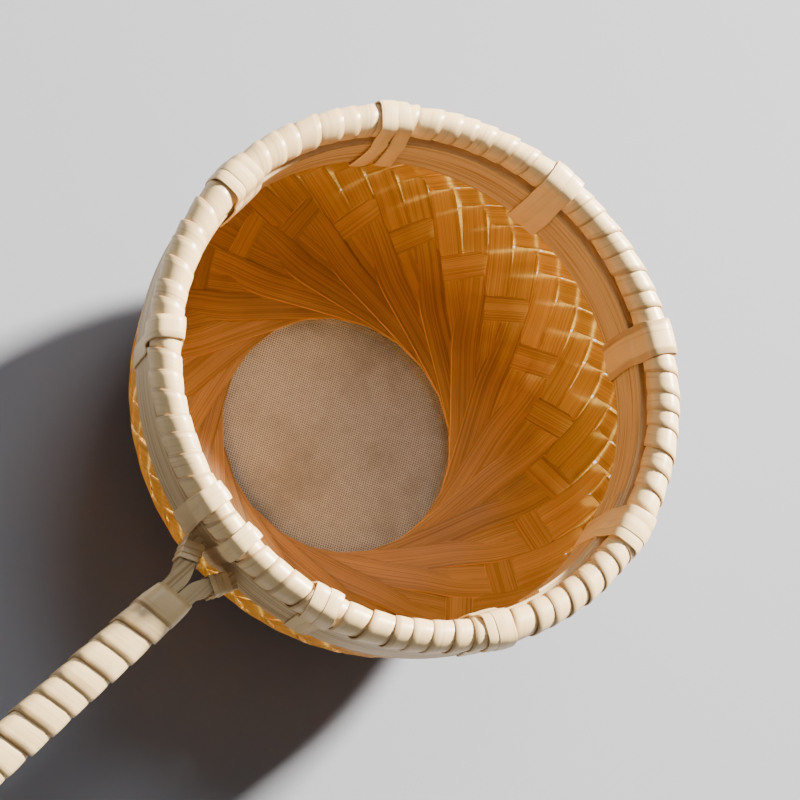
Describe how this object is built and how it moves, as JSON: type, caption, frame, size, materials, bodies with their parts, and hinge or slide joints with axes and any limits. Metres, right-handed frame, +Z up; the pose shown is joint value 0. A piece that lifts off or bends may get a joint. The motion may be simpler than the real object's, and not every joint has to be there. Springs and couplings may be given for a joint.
{
  "type": "tea strainer",
  "caption": "Hand-woven bamboo tea strainer: twill-woven bowl with a rattan-wrapped rim, steel gauze filter in the base and a wrapped straight handle.",
  "frame": {"origin": "on the bowl's axis in the plane that the foot ring stands on", "axes": "+Z up along the bowl's axis, +X out along the handle, +Y to the handle's left seen from the bowl"},
  "size_m": [0.1627, 0.0809, 0.0409],
  "materials": {
    "woven_bamboo": "split bamboo strips with fine lengthwise grain and a low sheen",
    "hoop_bamboo": "plain split bamboo, satin",
    "rattan_skin": "pale peeled rattan strip, satin",
    "steel_gauze": "fine plain-woven stainless wire cloth"
  },
  "bodies": {
    "root": {"woven_bowl": "woven_bamboo", "inner_hoop": "hoop_bamboo", "outer_hoop": "hoop_bamboo", "rim_core": "hoop_bamboo", "rim_wrap": "rattan_skin", "handle_splint_left": "hoop_bamboo", "handle_splint_right": "hoop_bamboo", "handle_wrap": "rattan_skin", "neck_binding_left": "rattan_skin", "neck_binding_right": "rattan_skin", "foot_ring": "hoop_bamboo", "filter_mesh": "steel_gauze", "rim_tie_1": "rattan_skin", "rim_tie_2": "rattan_skin", "rim_tie_3": "rattan_skin", "rim_tie_4": "rattan_skin", "rim_tie_5": "rattan_skin", "rim_tie_6": "rattan_skin", "rim_tie_7": "rattan_skin", "rim_tie_8": "rattan_skin", "neck_tie_left": "rattan_skin", "neck_tie_right": "rattan_skin"}
  },
  "joints": []
}
